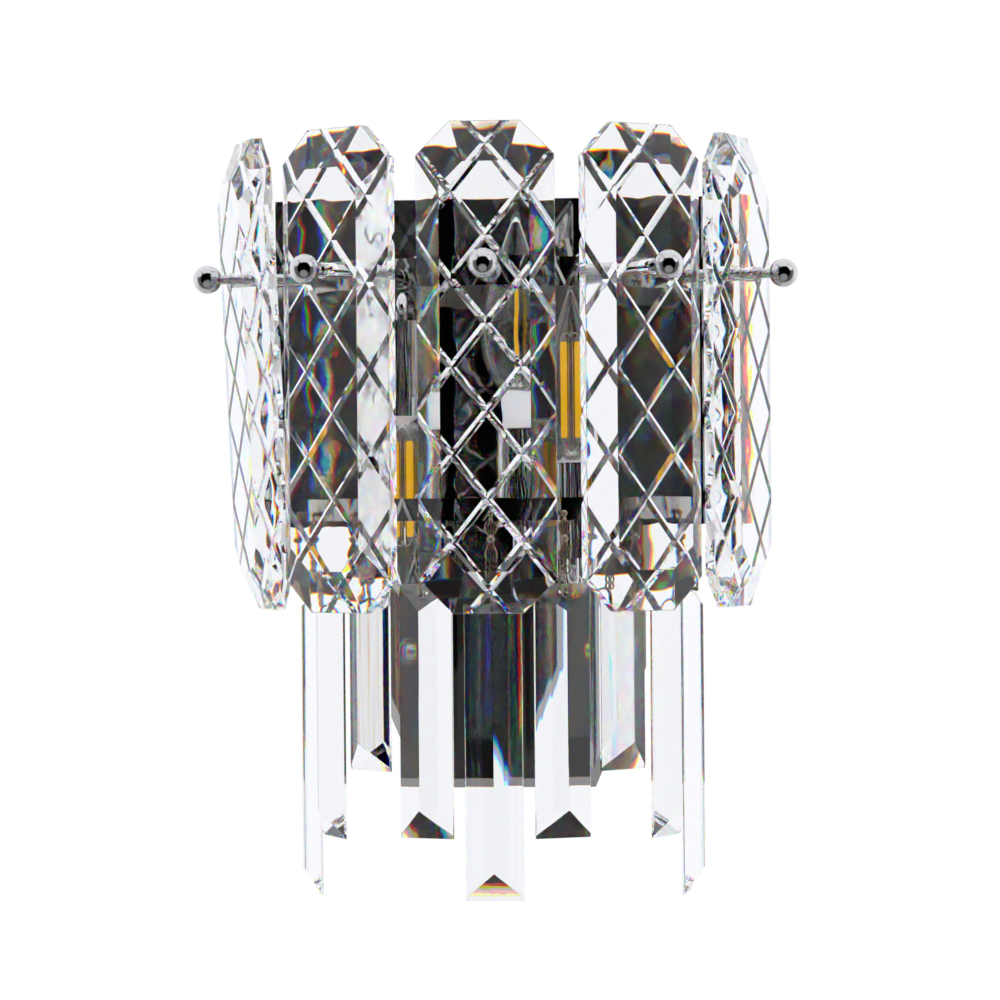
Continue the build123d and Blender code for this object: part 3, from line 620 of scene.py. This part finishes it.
bm = bmesh.new()
for x in SPACER_SCREWS_X:
    for z in SPACER_SCREWS_Z:
        cross_head_screw(bm, x, MIRROR_FACE_Y, z, 3.6, 2.2, 2.0, 30.4)
add_piece("spacer_screws_crossed", finished(bm), "chrome", "fixture", ("spacer_screws",))

bm = bmesh.new()
for x in BAND_SCREWS_X:
    for z in BAND_SCREWS_Z:
        cross_head_screw(bm, x, TAB_FACE_Y, z, 2.7, 1.6, 1.5, 5.1)
add_piece("band_screws_crossed", finished(bm), "chrome", "fixture", ("band_screws",))

bm = bmesh.new()
domed = [
    (0, 6.2), (0.9, 6.5), (1.3, 6.2), (1.4, 4.9), (2.2, 4.7), (3.0, 4.9), (4.6, 4.75), (6.2, 4.2), (7.6, 3.1),
    (8.4, 1.7), (8.7, 0.3),
]
for z in CAP_NUTS_Z:
    lathe(bm, domed, (0, PLATE_FACE_Y, z), (0, -1, 0), 48)
add_piece("plate_cap_nuts_domed", finished(bm), "chrome", "fixture", ("plate_cap_nuts",))

for name in LAMPS:
    down = (0, 0, -1)
    bm = bmesh.new()
    lathe(bm, [(0, 6.9), (0.8, 7.0), (1.6, 6.7)], (0, 0, CAP_TOP_Z), down, 48)
    threaded(bm, (0, 0, CAP_TOP_Z - 1.5), down, 15.5, 7.0, 0.55, 2.8, 48)
    tip = [(0, 6.6), (0.9, 6.2), (2.2, 4.6), (3.0, 3.6), (3.1, 2.5), (4.4, 2.4), (5.0, 1.8), (5.1, 0.4)]
    lathe(bm, tip, (0, 0, CAP_TOP_Z - 16.9), down, 48)
    add_piece(f"lamp_{name}_threaded_cap", place_lamp(finished(bm), name), "zinc_steel", f"lamp_{name}",
              (f"lamp_{name}_cap",))


# Studio: a white backdrop behind, two soft boxes and a ceiling above, grey below, and a dark room in front
world = bpy.data.worlds.new("studio")
world.use_nodes = True
bpy.context.scene.world = world
tree = world.node_tree
tree.nodes.clear()
ray_way = node(tree, "ShaderNodeTexCoord")

RIGHT_BOX = (0.74, -0.36, 0.57)
LEFT_BOX = (-0.78, -0.3, 0.55)
CEILING = (0.0, -0.2, 0.98)
FLOOR_IN_FRONT = (0.0, -0.75, -0.66)
STUDIO_WHITE = (0.97, 0.975, 1.0, 1)


def facing(direction, low, high, away, near):
    """A value that goes from away to near, between two cosines, as a ray comes nearer to a direction."""
    cosine = node(
        tree, "ShaderNodeVectorMath", {0: ray_way.outputs["Generated"], 1: tuple(direction)},
        operation="DOT_PRODUCT",
    )
    value = node(
        tree, "ShaderNodeMapRange",
        {"Value": cosine.outputs["Value"], "From Min": low, "From Max": high, "To Min": away, "To Max": near},
        interpolation_type="SMOOTHSTEP",
    )
    return value.outputs["Result"]


def combined(first, second, operation):
    return node(tree, "ShaderNodeMath", {0: first, 1: second}, operation=operation).outputs["Value"]


backdrop = facing(-TOWARDS_CAMERA, -0.35, 0.15, 0.12, 1.0)
boxes = combined(
    facing(RIGHT_BOX, 0.93, 0.96, 0.0, 1.0), facing(LEFT_BOX, 0.94, 0.965, 0.0, 0.9), "MAXIMUM"
)
ceiling = facing(CEILING, 0.75, 0.9, 0.0, 0.9)
lit = combined(combined(backdrop, boxes, "MAXIMUM"), ceiling, "MAXIMUM")
low_down = facing((0, 0, -1), 0.2, 0.8, 1.0, 0.6)
room = combined(lit, low_down, "MULTIPLY")
dark_front = facing(TOWARDS_CAMERA, 0.58, 0.66, 1.0, 0.012)
front_floor = facing(FLOOR_IN_FRONT, 0.8, 0.93, 0.0, 0.3)
mirrored = combined(combined(room, dark_front, "MULTIPLY"), front_floor, "MAXIMUM")
# The dark room is for mirrors and crystal alone: a ray that has left a matt surface meets plain white
rays = node(tree, "ShaderNodeLightPath")
after_matt = combined(rays.outputs["Diffuse Depth"], 1.0, "MINIMUM")
level = combined(mirrored, after_matt, "MAXIMUM")
tint = mixed_colours(tree, level, (0.0, 0.0, 0.0, 1), STUDIO_WHITE)
seen = mixed_colours(tree, rays.outputs["Is Camera Ray"], tint, (1, 1, 1, 1))
shine = node(tree, "ShaderNodeBackground", {"Color": seen, "Strength": 1.0})
node(tree, "ShaderNodeOutputWorld", {"Surface": shine.outputs["Background"]})

# Floor: far below the object, white to the camera, and not seen in mirrors and crystal
mesh = bpy.data.meshes.new("floor")
bm = bmesh.new()
bmesh.ops.create_circle(bm, cap_ends=True, segments=96, radius=6)
bm.to_mesh(mesh)
bm.free()
floor = bpy.data.objects.new("floor", mesh)
floor.location = (0, 0, -1.3)
bpy.context.scene.collection.objects.link(floor)
pale, tree = new_material("pale_floor")
matt = node(tree, "ShaderNodeBsdfDiffuse", {"Color": (0.8, 0.8, 0.8, 1)})
white = node(tree, "ShaderNodeEmission", {"Color": (1, 1, 1, 1), "Strength": 1.0})
rays = node(tree, "ShaderNodeLightPath")
straight = combined(rays.outputs["Is Camera Ray"], rays.outputs["Is Transmission Ray"], "MAXIMUM")
both = node(
    tree, "ShaderNodeMixShader", {0: straight, 1: matt.outputs["BSDF"], 2: white.outputs["Emission"]}
)
surface(tree, both.outputs["Shader"])
floor.data.materials.append(pale)
floor.visible_glossy = False
floor.visible_transmission = False

# Fill lamp: it lights the matt pieces, and mirrors and crystal don't show it
lamp = bpy.data.objects.new("fill", bpy.data.lights.new("fill", "AREA"))
bpy.context.scene.collection.objects.link(lamp)
lamp.data.size = 1.2
lamp.data.energy = 4
lamp.location = (0.5, -1.8, 0.9)
aim = Vector((0, -0.05, 0))
lamp.rotation_euler = (aim - lamp.location).to_track_quat("-Z", "Y").to_euler()
lamp.visible_glossy = False
lamp.visible_transmission = False

scene_settings = bpy.context.scene
scene_settings.view_settings.view_transform = "Standard"
scene_settings.cycles.max_bounces = 24
scene_settings.cycles.transmission_bounces = 24
scene_settings.cycles.glossy_bounces = 12
scene_settings.cycles.blur_glossy = 0.0
